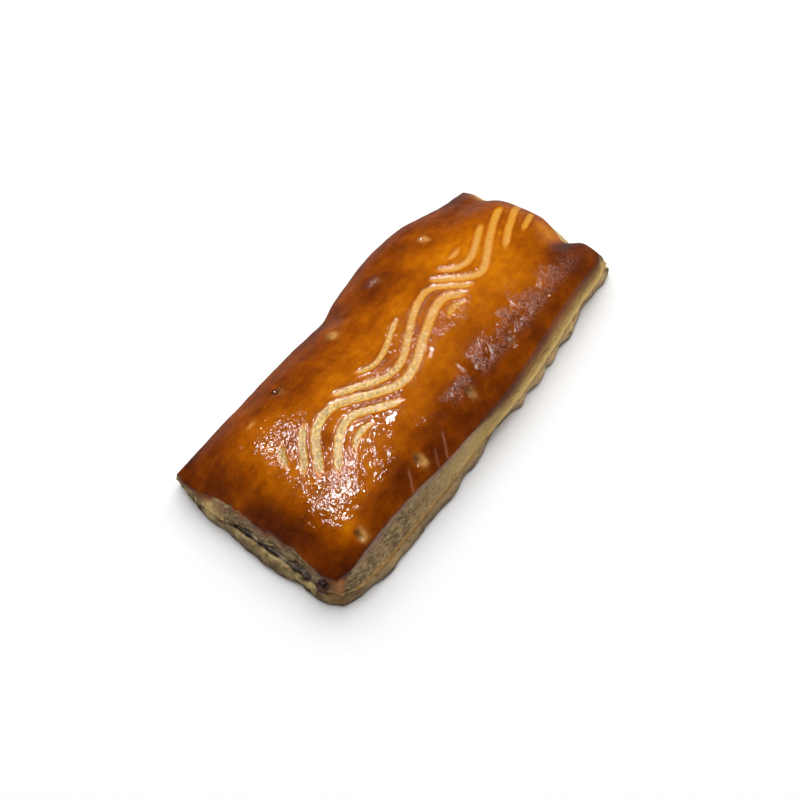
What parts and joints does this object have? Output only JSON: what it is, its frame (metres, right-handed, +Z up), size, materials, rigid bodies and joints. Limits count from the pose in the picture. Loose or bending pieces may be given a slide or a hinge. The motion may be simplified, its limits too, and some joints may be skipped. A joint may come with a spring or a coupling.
{
  "type": "sausage roll",
  "caption": "Baked puff pastry roll: glazed, scored lid sheet pressed down round a meat filling on a flat base sheet, cut square at both ends.",
  "frame": {"origin": "middle of the object's box, on the flat underside that it rests on", "axes": "+X along the roll from the flattened end with the open slit to the high domed end, +Y to the bulging long side, +Z up through the glazed lid"},
  "size_m": [0.1486, 0.0719, 0.0236],
  "materials": {
    "glazed_crust": "egg-washed puff pastry crust, glossy amber to red brown, pale in the scored grooves and on the cut walls",
    "base_pastry": "matte layered puff pastry, golden at the rim and tan below",
    "meat": "moist dark minced sausage meat"
  },
  "bodies": {
    "root": {"pastry_lid": "glazed_crust", "pastry_base": "base_pastry", "meat_filling": "meat"}
  },
  "joints": []
}
